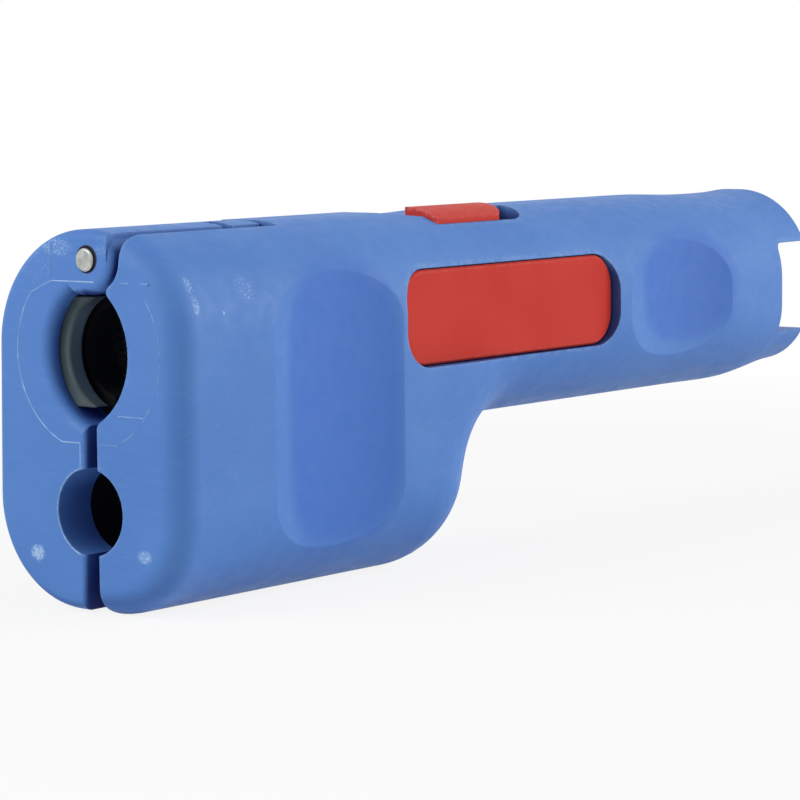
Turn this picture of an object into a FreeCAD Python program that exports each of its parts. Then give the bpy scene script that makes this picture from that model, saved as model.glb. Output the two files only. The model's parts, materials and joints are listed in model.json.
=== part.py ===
import FreeCAD, Part
import math
import os

# Coaxial cable stripper: a pistol-shaped moulded tool with a deep head, a straight
# handle in line with the upper cable port, and a jaw hinged along the top of the head.
#
# Sizes are millimetres. While modelling, x runs from the front face to the rear end,
# y from the label side (negative) to the jaw side (positive), z up from the underside.
# The last step moves everything so that the origin lies under the middle of the tool.

V = FreeCAD.Vector

# Head and handle
TOOL_LENGTH = 102.0
TOOL_WIDTH = 21.0
HEAD_HEIGHT = 32.8
HANDLE_HEIGHT = 19.8
EDGE_ROUND = 9.0
FRONT_ROUND = 2.4
HEAD_CHIN_X = 34.75
HEAD_CHIN_RADIUS = 9.6
HEAD_REAR_RAKE = 15.0
HEAD_REAR_BLEND = 6.0

# End collar, measured forward from the rear end: the top drops early to a waist and flares
# again, and the underside lifts toward the end
COLLAR_REACH = 20.0
COLLAR_WIDTH = 18.8
COLLAR_DROP = 0.3
COLLAR_DROP_LENGTH = 10.0
COLLAR_LIFT = 1.4
COLLAR_LIFT_LENGTH = 12.5
COLLAR_FLARE = 0.3
COLLAR_FLARE_LENGTH = 5.0
COLLAR_LOW_ROUND = 6.6
COLLAR_HIGH_ROUND = 8.6
COLLAR_EDGE = 0.5

# Finger scoops, cut by upright cylinders into both sides of the head and the handle
HEAD_SCOOP_X = 21.0
HEAD_SCOOP_RADIUS = 29.0
HEAD_SCOOP_DEPTH = 1.4
HANDLE_SCOOP_BACK = 26.4
HANDLE_SCOOP_RADIUS = 30.0
HANDLE_SCOOP_DEPTH = 1.5

# Jaw, hinge and slit. The jaw stands a little open at rest, so the slit widens downward
JAW_LENGTH = 36.0
JAW_REAR_GAP = 0.4
JAW_REST_ANGLE = 1.2
JAW_FRONT_ROUND = 0.8
JAW_SOLE_LIFT = 0.3
JAW_SOLE_ROUND = 9.3
JAW_CROWN_ROUND = 10.2
JAW_SOFT_EDGE = 0.9
SLIT_JAW_SIDE = 0.15
SLIT_BODY_SIDE = 0.95
SLIT_CORNER = 1.0
SLIT_EDGE = 0.45
REAR_WALL = 3.0
PIN_RADIUS = 1.0
PIN_DROP = 2.54
PIN_PROUD = 0.25
RUNNING_GAP = 0.05
SEAT_GAP = 0.02
KNUCKLE_RADIUS = 3.0
KNUCKLE_SHOULDER = 2.4
KNUCKLE_LENGTH = 19.6
KNUCKLE_GAP = 0.4
RECESS_SHOULDER = 3.8
RECESS_ROUND = 2.6
RECESS_LIP = 1.3

# Cable ports: the lower one is round, the upper one a lens of two arcs
LOWER_PORT_Z = 8.8
LOWER_PORT_RADIUS = 3.75
LOWER_CHANNEL_RADIUS = 4.1
UPPER_PORT_DROP = 10.5
UPPER_PORT_RADIUS = 6.6
UPPER_PORT_SHIFT = 1.95
PORT_CORNER = 0.9
NOSE_ROUND = 0.5
FRONT_WALL = 4.0
CABLE_BORE_RADIUS = 4.2

# Blade carrier, its cover and the blades
CARRIER_LENGTH = 15.0
CARRIER_BELOW = 4.3
CARRIER_ABOVE = 4.5
CARRIER_DEPTH = 5.0
CARRIER_CHANNEL = 4.0
COVER_THICKNESS = 1.2
CARRIER_GAP = 0.1
BLADE_THICKNESS = 0.5
BLADE_HEIGHT = 7.8
BLADE_BEVEL = 1.0
BLADE_INSET = 3.9
BLADE_SPACING = 7.0
JACKET_EDGE = 2.5
CORE_EDGE = 0.9
SCREW_RADIUS = 0.8
SCREW_HEAD_RADIUS = 1.5
SCREW_HEAD_HEIGHT = 0.7
SCREW_LENGTH = 3.6
SCREW_SLOT = 0.35
SCREW_INSET = 2.0

# Cable pad, the liner of the jaw's upper port
PAD_FRONT = 1.5
PAD_DEPTH = 1.65
PAD_INNER_RADIUS = 5.1
PAD_THICKNESS = 1.0
PAD_HEIGHT = 9.4
PAD_LIP = 0.8
PAD_EDGE = 0.25

# Torsion spring on the hinge pin
SPRING_WIRE = 0.5
SPRING_RADIUS = 1.35
SPRING_TURNS = 5
SPRING_SIDES = 8
SPRING_PITCH = 0.9
SPRING_INSET = 4.5
SPRING_BODY_LEG = 4.6
SPRING_JAW_LEG = 3.0
SPRING_POCKET_GAP = 0.25
SPRING_LEG_GAP = 0.2

# Label plate, let into the crowned side of the handle
LABEL_X = 30.6
LABEL_LENGTH = 33.6
LABEL_DROP = 9.3
LABEL_HEIGHT = 8.7
LABEL_ROUND = 3.2
LABEL_THICKNESS = 0.9
LABEL_SINK = 0.95
LABEL_EDGE = 0.2
LABEL_GAP = 0.12

# Length stop: a thumb slide in the handle's upper edge with a foot in the cable bore,
# and the shallow thumb dip across the handle that it stands in
SLIDE_X = 40.9
SLIDE_LENGTH = 11.7
SLIDE_Y = -3.95
SLIDE_WIDTH = 3.7
SLIDE_ROUND = 2.8
SLIDE_CORNER = 0.6
SLIDE_PROUD = 0.4
SLIDE_DEPTH = 3.0
SLIDE_TRAVEL = 3.0
SLIDE_GAP = 0.12
STEM_INSET = 5.3
STEM_LENGTH = 4.5
STEM_WIDTH = 1.2
STOP_WIDTH = 7.4
STOP_RIM = 0.9
STOP_SIDE = 0.4
BORE_BEHIND_STOP = 0.6
DIP_LENGTH = 15.0
DIP_DEPTH = 0.55
DIP_BEHIND = 3.1

# Hexagon socket for connector nuts, and the fork notches at the end
HEX_ACROSS_FLATS = 11.2
HEX_DEPTH = 10.0
HEX_DROP = 9.65
RELIEF_RADIUS = 4.4
RELIEF_DEPTH = 5.0
NOTCH_DEPTH = 6.2
NOTCH_HEIGHT = 9.4
NOTCH_DROP = 10.15
NOTCH_ROUND = 0.8

# Modelling values: how far cuts run past a surface, sections in the collar's easing,
# the largest share of a width or height that a rounded edge may take, and the share of
# a larger round that a smaller one on the same edge may take
MARGIN = 1.0
EASE_STEPS = 6
ROUND_SHARE = 0.46
INNER_SHARE = 0.98

# Values that follow from the sizes above
FAR = 2 * TOOL_LENGTH
HALF_WIDTH = TOOL_WIDTH / 2
HANDLE_BOTTOM = HEAD_HEIGHT - HANDLE_HEIGHT
RAKE = math.radians(HEAD_REAR_RAKE)
CHIN_LIMIT = HANDLE_BOTTOM / (1 - math.sin(RAKE)) - HEAD_REAR_BLEND
CHIN_ROUND = min(HEAD_CHIN_RADIUS, INNER_SHARE * CHIN_LIMIT)
GRIP_ROUND = min(EDGE_ROUND, ROUND_SHARE * TOOL_WIDTH, ROUND_SHARE * HANDLE_HEIGHT, INNER_SHARE * CHIN_ROUND)
COLLAR_X = TOOL_LENGTH - COLLAR_REACH
PIN_Z = HEAD_HEIGHT - PIN_DROP
PIN_END = JAW_LENGTH - REAR_WALL
CHANNEL_END = JAW_LENGTH - REAR_WALL
BARREL_RADIUS = KNUCKLE_RADIUS + KNUCKLE_GAP
BARREL_X = KNUCKLE_LENGTH + KNUCKLE_GAP
BARREL_END = JAW_LENGTH + JAW_REAR_GAP
UPPER_PORT_Z = HEAD_HEIGHT - UPPER_PORT_DROP
CARRIER_FRONT = FRONT_WALL + CARRIER_GAP
CARRIER_REAR = CARRIER_FRONT + CARRIER_LENGTH
CARRIER_BOTTOM = LOWER_PORT_Z - CARRIER_BELOW
LEAN = math.radians(JAW_REST_ANGLE)
CARRIER_FACE = SLIT_JAW_SIDE + math.tan(LEAN) * (PIN_Z - CARRIER_BOTTOM)
CARRIER_BACK = CARRIER_FACE + CARRIER_DEPTH
CARRIER_TOP = UPPER_PORT_Z + CARRIER_ABOVE
COVER_BACK = CARRIER_BACK + COVER_THICKNESS
SPRING_REAR_X = KNUCKLE_LENGTH - SPRING_INSET
SPRING_FRONT_X = SPRING_REAR_X - SPRING_PITCH * SPRING_TURNS
SPRING_TOP = PIN_Z + SPRING_RADIUS
LABEL_Z = HEAD_HEIGHT - LABEL_DROP
LABEL_FACE = LABEL_SINK - HALF_WIDTH
LABEL_BACK = LABEL_FACE + LABEL_THICKNESS
SLIDE_BOTTOM = HEAD_HEIGHT - SLIDE_DEPTH
STEM_X = SLIDE_X + STEM_INSET
STEM_END = STEM_X + STEM_LENGTH
STEM_Y0 = STOP_SIDE - STOP_WIDTH / 2
STEM_Y1 = STEM_Y0 + STEM_WIDTH
STOP_REACH = STOP_WIDTH / 2 + SLIDE_GAP
STOP_TOP = UPPER_PORT_Z + math.sqrt(CABLE_BORE_RADIUS ** 2 - STOP_REACH ** 2) - SLIDE_GAP
STOP_BOTTOM = 2 * UPPER_PORT_Z - STOP_TOP
CABLE_BORE_END = STEM_END + STOP_RIM + SLIDE_TRAVEL + BORE_BEHIND_STOP
HEX_X = TOOL_LENGTH - HEX_DEPTH
HEX_Z = HEAD_HEIGHT - HEX_DROP
NOTCH_Z = HEAD_HEIGHT - NOTCH_DROP
JAW_SOLE = min(JAW_SOLE_ROUND, INNER_SHARE * HALF_WIDTH)
JAW_CROWN = min(JAW_CROWN_ROUND, INNER_SHARE * HALF_WIDTH)
JAW_DEPTH = PIN_Z - JAW_SOLE_LIFT - JAW_SOLE
JAW_SIDE = JAW_SOLE + (HALF_WIDTH - JAW_SOLE) * math.cos(LEAN) + JAW_DEPTH * math.sin(LEAN)
PLACE = V((PIN_PROUD - TOOL_LENGTH) / 2, (HALF_WIDTH - JAW_SIDE) / 2, 0)


def box(x0, x1, y0, y1, z0, z1):
    return Part.makeBox(x1 - x0, y1 - y0, z1 - z0, V(x0, y0, z0))


def rod_x(radius, x0, x1, y, z):
    return Part.makeCylinder(radius, x1 - x0, V(x0, y, z), V(1, 0, 0))


def rod_y(radius, y0, y1, x, z):
    return Part.makeCylinder(radius, y1 - y0, V(x, y0, z), V(0, 1, 0))


def arc(start, middle, end):
    return Part.Arc(start, middle, end).toShape()


def line(start, end):
    return Part.makeLine(start, end)


def round_cut(radius):
    """How far the middle of a quarter round lies inside its square corner, along each side."""
    return radius * (1 - math.sqrt(0.5))


def rounded_outline(u0, u1, v0, v1, low, high, point):
    """A rounded rectangle with the radii low along v0 and high along v1; point(u, v) places it."""
    low_cut = round_cut(low)
    high_cut = round_cut(high)
    return Part.Wire([
        line(point(u0 + low, v0), point(u1 - low, v0)),
        arc(point(u1 - low, v0), point(u1 - low_cut, v0 + low_cut), point(u1, v0 + low)),
        line(point(u1, v0 + low), point(u1, v1 - high)),
        arc(point(u1, v1 - high), point(u1 - high_cut, v1 - high_cut), point(u1 - high, v1)),
        line(point(u1 - high, v1), point(u0 + high, v1)),
        arc(point(u0 + high, v1), point(u0 + high_cut, v1 - high_cut), point(u0, v1 - high)),
        line(point(u0, v1 - high), point(u0, v0 + low)),
        arc(point(u0, v0 + low), point(u0 + low_cut, v0 + low_cut), point(u0 + low, v0)),
    ])


def edges_where(shape, test):
    return [edge for edge in shape.Edges if test(edge)]


def lies_on(edge, axis, value, tolerance=0.001):
    ends = edge.BoundBox
    low = getattr(ends, axis + "Min")
    high = getattr(ends, axis + "Max")
    return abs(low - value) < tolerance and abs(high - value) < tolerance


def side_profile():
    """Outline of head and handle seen from the side, up to the start of the end collar."""
    outward = V(math.cos(RAKE), 0, -math.sin(RAKE))
    upward = V(math.sin(RAKE), 0, math.cos(RAKE))
    chin = V(HEAD_CHIN_X, 0, CHIN_ROUND)
    half_turn = (math.pi / 2 - RAKE) / 2
    chin_middle = chin + V(math.sin(half_turn), 0, -math.cos(half_turn)) * CHIN_ROUND
    chin_end = chin + outward * CHIN_ROUND
    blend_z = HANDLE_BOTTOM - HEAD_REAR_BLEND
    rise = (blend_z + HEAD_REAR_BLEND * math.sin(RAKE) - chin_end.z) / math.cos(RAKE)
    blend_start = chin_end + upward * rise
    blend = blend_start + outward * HEAD_REAR_BLEND
    blend_middle = blend + V(-math.sin(half_turn), 0, math.cos(half_turn)) * HEAD_REAR_BLEND
    blend_end = V(blend.x, 0, HANDLE_BOTTOM)
    front_low = V(0, 0, 0)
    flat_end = V(HEAD_CHIN_X, 0, 0)
    rear_low = V(COLLAR_X, 0, HANDLE_BOTTOM)
    rear_high = V(COLLAR_X, 0, HEAD_HEIGHT)
    front_high = V(0, 0, HEAD_HEIGHT)
    return Part.Wire([
        line(front_low, flat_end),
        arc(flat_end, chin_middle, chin_end),
        line(chin_end, blend_start),
        arc(blend_start, blend_middle, blend_end),
        line(blend_end, rear_low),
        line(rear_low, rear_high),
        line(rear_high, front_high),
        line(front_high, front_low),
    ])


def eased(x, start, end):
    """0 up to the start, 1 from the end on, with a soft run between."""
    share = min(max((x - start) / (end - start), 0.0), 1.0)
    return share * share * (3 - 2 * share)


def collar_section(x):
    """Cross-section of the handle at x, easing from the grip's section to the collar's."""
    share = eased(x, COLLAR_X, TOOL_LENGTH)
    lift_share = eased(x, TOOL_LENGTH - COLLAR_LIFT_LENGTH, TOOL_LENGTH)
    drop_share = eased(x, COLLAR_X, COLLAR_X + COLLAR_DROP_LENGTH)
    half = HALF_WIDTH + (COLLAR_WIDTH / 2 - HALF_WIDTH) * share
    low = HANDLE_BOTTOM + COLLAR_LIFT * lift_share
    flare_share = eased(x, TOOL_LENGTH - COLLAR_FLARE_LENGTH, TOOL_LENGTH)
    high = HEAD_HEIGHT - COLLAR_DROP * drop_share + COLLAR_FLARE * flare_share
    limit = ROUND_SHARE * COLLAR_WIDTH
    low_round = GRIP_ROUND + (min(COLLAR_LOW_ROUND, limit) - GRIP_ROUND) * share
    high_round = GRIP_ROUND + (min(COLLAR_HIGH_ROUND, limit) - GRIP_ROUND) * share
    return rounded_outline(-half, half, low, high, low_round, high_round, lambda y, z: V(x, y, z))


def make_collar():
    stations = [COLLAR_X + COLLAR_REACH * step / EASE_STEPS for step in range(EASE_STEPS + 1)]
    collar = Part.makeLoft([collar_section(x) for x in stations], True, False)
    return collar.makeChamfer(COLLAR_EDGE, edges_where(collar, lambda e: lies_on(e, "X", TOOL_LENGTH)))


def make_grip():
    """Head and handle as one closed moulding, before its front edge is rounded and it is split."""
    slab = Part.Face(side_profile()).extrude(V(0, TOOL_WIDTH, 0))
    slab.translate(V(0, -HALF_WIDTH, 0))
    rims = edges_where(slab, lambda e: lies_on(e, "Y", HALF_WIDTH) or lies_on(e, "Y", -HALF_WIDTH))
    rims = [e for e in rims if not lies_on(e, "X", 0) and not lies_on(e, "X", COLLAR_X)]
    slab = slab.makeFillet(GRIP_ROUND, rims)
    grip = slab.fuse(make_collar())
    grip = cut_scoops(grip, HEAD_SCOOP_X, HEAD_SCOOP_RADIUS, HEAD_SCOOP_DEPTH)
    return cut_scoops(grip, TOOL_LENGTH - HANDLE_SCOOP_BACK, HANDLE_SCOOP_RADIUS, HANDLE_SCOOP_DEPTH)


def cut_scoops(grip, x, radius, depth):
    """A pair of finger scoops at x, one in each side."""
    y = HALF_WIDTH - depth + radius
    for side in (-y, y):
        grip = grip.cut(Part.makeCylinder(radius, HEAD_HEIGHT, V(x, side, 0)))
    return grip


def thumb_dip():
    """Lying cylinder that hollows the top of the handle round the thumb slide."""
    radius = (DIP_LENGTH ** 2 / 4 + DIP_DEPTH ** 2) / (2 * DIP_DEPTH)
    return rod_y(radius, -HALF_WIDTH, HALF_WIDTH, SLIDE_X + DIP_BEHIND, HEAD_HEIGHT - DIP_DEPTH + radius)


def lead_in():
    """Ring that rounds the jaw's side of the upper port over into the front face."""
    cut = round_cut(JAW_SOFT_EDGE)
    radius = UPPER_PORT_RADIUS
    wide = radius + JAW_SOFT_EDGE
    corner = Part.Wire([
        line(V(-MARGIN, radius, 0), V(-MARGIN, wide, 0)),
        line(V(-MARGIN, wide, 0), V(0, wide, 0)),
        arc(V(0, wide, 0), V(cut, radius + cut, 0), V(JAW_SOFT_EDGE, radius, 0)),
        line(V(JAW_SOFT_EDGE, radius, 0), V(-MARGIN, radius, 0)),
    ])
    ring = Part.Face(corner).revolve(V(0, 0, 0), V(1, 0, 0), 360)
    ring.translate(V(0, -UPPER_PORT_SHIFT, UPPER_PORT_Z))
    return ring


def slide_outline(grow, travel, z0, z1):
    """Thumb slide seen from above, larger by grow all round and longer at the rear by travel."""
    x0 = SLIDE_X - grow
    x1 = SLIDE_X + SLIDE_LENGTH + travel + grow
    y0 = SLIDE_Y - SLIDE_WIDTH / 2 - grow
    y1 = SLIDE_Y + SLIDE_WIDTH / 2 + grow
    small = SLIDE_CORNER + grow
    large = min(SLIDE_ROUND, INNER_SHARE * (SLIDE_WIDTH - SLIDE_CORNER)) + grow
    small_cut = round_cut(small)
    large_cut = round_cut(large)
    face = Part.Face(Part.Wire([
        line(V(x0, y0, z0), V(x1 - large, y0, z0)),
        arc(V(x1 - large, y0, z0), V(x1 - large_cut, y0 + large_cut, z0), V(x1, y0 + large, z0)),
        line(V(x1, y0 + large, z0), V(x1, y1 - small, z0)),
        arc(V(x1, y1 - small, z0), V(x1 - small_cut, y1 - small_cut, z0), V(x1 - small, y1, z0)),
        line(V(x1 - small, y1, z0), V(x0, y1, z0)),
        line(V(x0, y1, z0), V(x0, y0, z0)),
    ]))
    return face.extrude(V(0, 0, z1 - z0))


def label_outline(grow, y0, y1):
    """Block with the label's rounded outline, larger by grow all round."""
    half = LABEL_HEIGHT / 2 + grow
    outline = rounded_outline(
        LABEL_X - grow, LABEL_X + LABEL_LENGTH + grow, LABEL_Z - half, LABEL_Z + half,
        LABEL_ROUND + grow, LABEL_ROUND + grow, lambda x, z: V(x, y0, z),
    )
    return Part.Face(outline).extrude(V(0, y1 - y0, 0))


def spring_leg(start_x, side, radius, length):
    """Straight rod that leaves the coil along its own line, to the body (-1) or the jaw (+1)."""
    away = V(-SPRING_PITCH, 2 * math.pi * SPRING_RADIUS, 0) * side
    return Part.makeCylinder(radius, length, V(start_x, 0, SPRING_TOP), away)


def jaw_space():
    """Room in the body for the jaw, its knuckle and its swing."""
    front = box(-MARGIN, BARREL_X, -SLIT_BODY_SIDE, FAR, -MARGIN, FAR)
    rear = box(BARREL_X, BARREL_END, -SLIT_BODY_SIDE, FAR, -MARGIN, FAR)
    rear = rear.cut(rod_x(BARREL_RADIUS, BARREL_X, BARREL_END, 0, PIN_Z))
    knuckle = rod_x(BARREL_RADIUS, -MARGIN, BARREL_X, 0, PIN_Z)
    bulge = rod_x(RECESS_ROUND, -MARGIN, BARREL_X, RECESS_ROUND - RECESS_SHOULDER, PIN_Z)
    shoulder = box(-MARGIN, BARREL_X, -RECESS_SHOULDER, 0, PIN_Z, FAR)
    lip_y = -RECESS_SHOULDER - RECESS_LIP
    lip_z = HEAD_HEIGHT - RECESS_LIP
    lip = box(-MARGIN, BARREL_X, lip_y, 0, lip_z, FAR)
    lip = lip.cut(rod_x(RECESS_LIP, -MARGIN, BARREL_X, lip_y, lip_z))
    corner_y = -SLIT_BODY_SIDE - SLIT_CORNER
    corner = box(-MARGIN, BARREL_END, corner_y, 0, -MARGIN, SLIT_CORNER)
    corner = corner.cut(rod_x(SLIT_CORNER, -MARGIN, BARREL_END, corner_y, SLIT_CORNER))
    return [front, rear, knuckle, bulge, shoulder, lip, corner]


def cable_passages():
    """The body's share of both ports and the bore that leads back into the handle."""
    port = rod_x(UPPER_PORT_RADIUS, -MARGIN, CHANNEL_END, UPPER_PORT_SHIFT, UPPER_PORT_Z)
    return [
        rod_x(LOWER_PORT_RADIUS, -MARGIN, FRONT_WALL, 0, LOWER_PORT_Z),
        rod_x(LOWER_CHANNEL_RADIUS, FRONT_WALL, CHANNEL_END, 0, LOWER_PORT_Z),
        port.common(box(-MARGIN, CHANNEL_END, -FAR, 0, 0, FAR)),
        rod_x(CABLE_BORE_RADIUS, CHANNEL_END - MARGIN, CABLE_BORE_END, 0, UPPER_PORT_Z),
        rod_x(RELIEF_RADIUS, HEX_X - RELIEF_DEPTH, HEX_X, 0, HEX_Z),
    ]


def slide_seat():
    """Thumb dip, recess of the slide over its whole travel, and the slot of its stem."""
    recess = slide_outline(SLIDE_GAP, SLIDE_TRAVEL, SLIDE_BOTTOM - SLIDE_GAP, FAR)
    slot = box(
        STEM_X - SLIDE_GAP, STEM_END + SLIDE_TRAVEL + SLIDE_GAP,
        STEM_Y0 - SLIDE_GAP, STEM_Y1 + SLIDE_GAP, UPPER_PORT_Z, SLIDE_BOTTOM,
    )
    return [thumb_dip(), recess, slot]


def end_socket():
    """Six-sided socket with two flats facing the sides, and the notch across the end."""
    corner = HEX_ACROSS_FLATS / math.sqrt(3)
    angles = [math.radians(90 + 60 * turn) for turn in range(7)]
    points = [V(HEX_X, corner * math.cos(a), HEX_Z + corner * math.sin(a)) for a in angles]
    socket = Part.Face(Part.makePolygon(points)).extrude(V(HEX_DEPTH + MARGIN, 0, 0))
    notch = rounded_outline(
        TOOL_LENGTH - NOTCH_DEPTH, TOOL_LENGTH + NOTCH_DEPTH,
        NOTCH_Z - NOTCH_HEIGHT / 2, NOTCH_Z + NOTCH_HEIGHT / 2,
        NOTCH_ROUND, NOTCH_ROUND, lambda x, z: V(x, -FAR, z),
    )
    return [socket, Part.Face(notch).extrude(V(0, 2 * FAR, 0))]


def make_main_body(grip):
    """Fixed half of the head with the handle, and the seats of everything that it carries."""
    body = grip.makeFillet(FRONT_ROUND, edges_where(grip, lambda e: lies_on(e, "X", 0)))
    for room in jaw_space() + cable_passages():
        body = body.cut(room)
    body = soften_port(body)
    for room in slide_seat() + end_socket():
        body = body.cut(room)
    body = body.cut(rod_x(PIN_RADIUS + SEAT_GAP, 0, PIN_END, 0, PIN_Z))
    body = body.cut(label_outline(LABEL_GAP, -FAR, LABEL_BACK))
    leg_room = SPRING_WIRE / 2 + SPRING_LEG_GAP
    return body.cut(spring_leg(SPRING_REAR_X, -1, leg_room, SPRING_BODY_LEG + SPRING_LEG_GAP))


def soften_port(body):
    """Rounds the edges where the body's upper port runs into the slit and into the hinge recess."""
    foot = UPPER_PORT_Z - math.sqrt(UPPER_PORT_RADIUS ** 2 - (SLIT_BODY_SIDE + UPPER_PORT_SHIFT) ** 2)
    channel_top = LOWER_PORT_Z + math.sqrt(LOWER_CHANNEL_RADIUS ** 2 - SLIT_BODY_SIDE ** 2)
    corner = min(PORT_CORNER, INNER_SHARE * (foot - channel_top))
    body = body.makeFillet(corner, edges_where(
        body, lambda e: lies_on(e, "Y", -SLIT_BODY_SIDE) and lies_on(e, "Z", foot)))
    return body.makeFillet(NOSE_ROUND, edges_where(
        body, lambda e: e.BoundBox.ZMin > UPPER_PORT_Z + CABLE_BORE_RADIUS and e.BoundBox.ZMax < PIN_Z
        and e.BoundBox.ZLength < MARGIN and e.BoundBox.YMax < -SLIT_BODY_SIDE and e.BoundBox.XMin < MARGIN
        and e.BoundBox.XLength > KNUCKLE_LENGTH / 2))


def jaw_outside():
    """Outside of the jaw, a little rounder than the body's half of the head."""
    section = rounded_outline(
        -HALF_WIDTH, HALF_WIDTH, JAW_SOLE_LIFT, HEAD_HEIGHT, JAW_SOLE, JAW_CROWN, lambda y, z: V(0, y, z),
    )
    outside = Part.Face(section).extrude(V(JAW_LENGTH, 0, 0))
    outside = outside.makeFillet(JAW_FRONT_ROUND, edges_where(outside, lambda e: lies_on(e, "X", 0)))
    chin = box(HEAD_CHIN_X, FAR, -FAR, FAR, -MARGIN, CHIN_ROUND)
    chin = chin.cut(rod_y(CHIN_ROUND, -FAR, FAR, HEAD_CHIN_X, CHIN_ROUND))
    return cut_scoops(outside.cut(chin), HEAD_SCOOP_X, HEAD_SCOOP_RADIUS, HEAD_SCOOP_DEPTH)


def make_jaw():
    """Moving half of the head with the hinge knuckle and the pocket of the blade carrier."""
    knuckle = rod_x(KNUCKLE_RADIUS, 0, KNUCKLE_LENGTH, 0, PIN_Z)
    knuckle = knuckle.makeFillet(JAW_SOFT_EDGE, edges_where(knuckle, lambda e: lies_on(e, "X", 0)))
    shoulder = box(0, KNUCKLE_LENGTH, -KNUCKLE_SHOULDER, SLIT_JAW_SIDE, PIN_Z, FAR)
    front = box(0, KNUCKLE_LENGTH, SLIT_JAW_SIDE, FAR, -MARGIN, FAR)
    slit_edges = edges_where(front, lambda e: lies_on(e, "X", 0) and lies_on(e, "Y", SLIT_JAW_SIDE))
    front = front.makeFillet(SLIT_EDGE, slit_edges).fuse([knuckle, shoulder])
    rear = box(KNUCKLE_LENGTH, FAR, SLIT_JAW_SIDE, FAR, -MARGIN, FAR)
    rear = rear.cut(rod_x(BARREL_RADIUS + KNUCKLE_GAP, 0, FAR, 0, PIN_Z))
    jaw = jaw_outside().common(front.fuse(rear)).removeSplitter()
    jaw.rotate(V(0, 0, PIN_Z), V(1, 0, 0), JAW_REST_ANGLE)

    jaw = jaw.cut(rod_x(PIN_RADIUS + RUNNING_GAP, -MARGIN, BARREL_X, 0, PIN_Z))
    jaw = jaw.cut(rod_x(LOWER_PORT_RADIUS, -MARGIN, FRONT_WALL, 0, LOWER_PORT_Z))
    jaw = jaw.cut(rod_x(LOWER_CHANNEL_RADIUS, FRONT_WALL, CHANNEL_END, 0, LOWER_PORT_Z))
    port = rod_x(UPPER_PORT_RADIUS, -MARGIN, FAR, -UPPER_PORT_SHIFT, UPPER_PORT_Z)
    mouth = port.fuse(lead_in()).common(box(-MARGIN, FAR, 0, FAR, 0, PIN_Z))
    jaw = jaw.cut(mouth.cut(rod_x(KNUCKLE_RADIUS, -MARGIN, KNUCKLE_LENGTH, 0, PIN_Z)))
    jaw = jaw.cut(pad_block(SEAT_GAP))
    jaw = jaw.cut(box(
        FRONT_WALL, CARRIER_REAR + CARRIER_GAP, 0, COVER_BACK + CARRIER_GAP,
        CARRIER_BOTTOM - CARRIER_GAP, CARRIER_TOP + CARRIER_GAP,
    ))
    return cut_spring_room(jaw)


def cut_spring_room(jaw):
    """Pocket of the coil, blind hole of the jaw's leg and a slot over the body's leg."""
    pocket_radius = SPRING_RADIUS + SPRING_WIRE / 2 + SPRING_POCKET_GAP
    pocket = rod_x(pocket_radius, SPRING_FRONT_X - SPRING_WIRE, SPRING_REAR_X + SPRING_WIRE, 0, PIN_Z)
    leg_room = SPRING_WIRE / 2 + SPRING_LEG_GAP
    hole = spring_leg(SPRING_FRONT_X, 1, leg_room, SPRING_JAW_LEG + SPRING_LEG_GAP)
    slant = KNUCKLE_RADIUS * SPRING_PITCH / (2 * math.pi * SPRING_RADIUS)
    slot = box(SPRING_REAR_X - leg_room, SPRING_REAR_X + leg_room + slant, -FAR, 0, SPRING_TOP - leg_room, FAR)
    return jaw.cut(pocket).cut(hole).cut(slot)


def pad_block(grow):
    """Curved block behind the lip of the jaw's upper port, larger by grow for the pad's seat."""
    outer = UPPER_PORT_RADIUS + PAD_LIP + grow
    rear = PAD_FRONT + PAD_DEPTH + grow
    block = rod_x(outer, PAD_FRONT - grow, rear, -UPPER_PORT_SHIFT, UPPER_PORT_Z)
    low = UPPER_PORT_Z - PAD_HEIGHT / 2 - grow
    high = UPPER_PORT_Z + PAD_HEIGHT / 2 + grow
    return block.common(box(0, rear, CARRIER_FACE - grow, FAR, low, high))


def make_pad():
    inner_y = UPPER_PORT_RADIUS - UPPER_PORT_SHIFT - PAD_THICKNESS - PAD_INNER_RADIUS
    pad = pad_block(0).cut(rod_x(PAD_INNER_RADIUS, 0, FRONT_WALL, inner_y, UPPER_PORT_Z))
    bevel = Part.makeCone(
        PAD_INNER_RADIUS + PAD_EDGE, PAD_INNER_RADIUS, PAD_EDGE,
        V(PAD_FRONT, inner_y, UPPER_PORT_Z), V(1, 0, 0),
    )
    return pad.cut(bevel)


def make_pin():
    pin = rod_x(PIN_RADIUS, -PIN_PROUD, PIN_END, 0, PIN_Z)
    return pin.makeChamfer(PIN_PROUD / 2, edges_where(pin, lambda e: lies_on(e, "X", -PIN_PROUD)))


def make_spring():
    """Coil wound on the pin, one leg in the body and one in the jaw."""
    radius = SPRING_WIRE / 2
    helix = Part.makeHelix(SPRING_PITCH, SPRING_PITCH * SPRING_TURNS, SPRING_RADIUS)
    along = V(0, 2 * math.pi * SPRING_RADIUS, SPRING_PITCH)
    across = along.cross(V(1, 0, 0)).normalize()
    section = Part.makePolygon([
        V(SPRING_RADIUS + radius * math.cos(turn), 0, 0) + across * (radius * math.sin(turn))
        for turn in [2 * math.pi * corner / SPRING_SIDES for corner in range(SPRING_SIDES + 1)]
    ])
    coil = Part.Wire(helix.Edges).makePipeShell([section], True, True)
    coil.rotate(V(0, 0, 0), V(0, 1, 0), -90)
    coil.translate(V(SPRING_REAR_X, 0, PIN_Z))
    body_leg = spring_leg(SPRING_REAR_X, -1, radius, SPRING_BODY_LEG)
    jaw_leg = spring_leg(SPRING_FRONT_X, 1, radius, SPRING_JAW_LEG)
    return coil.fuse([body_leg, jaw_leg])


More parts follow.
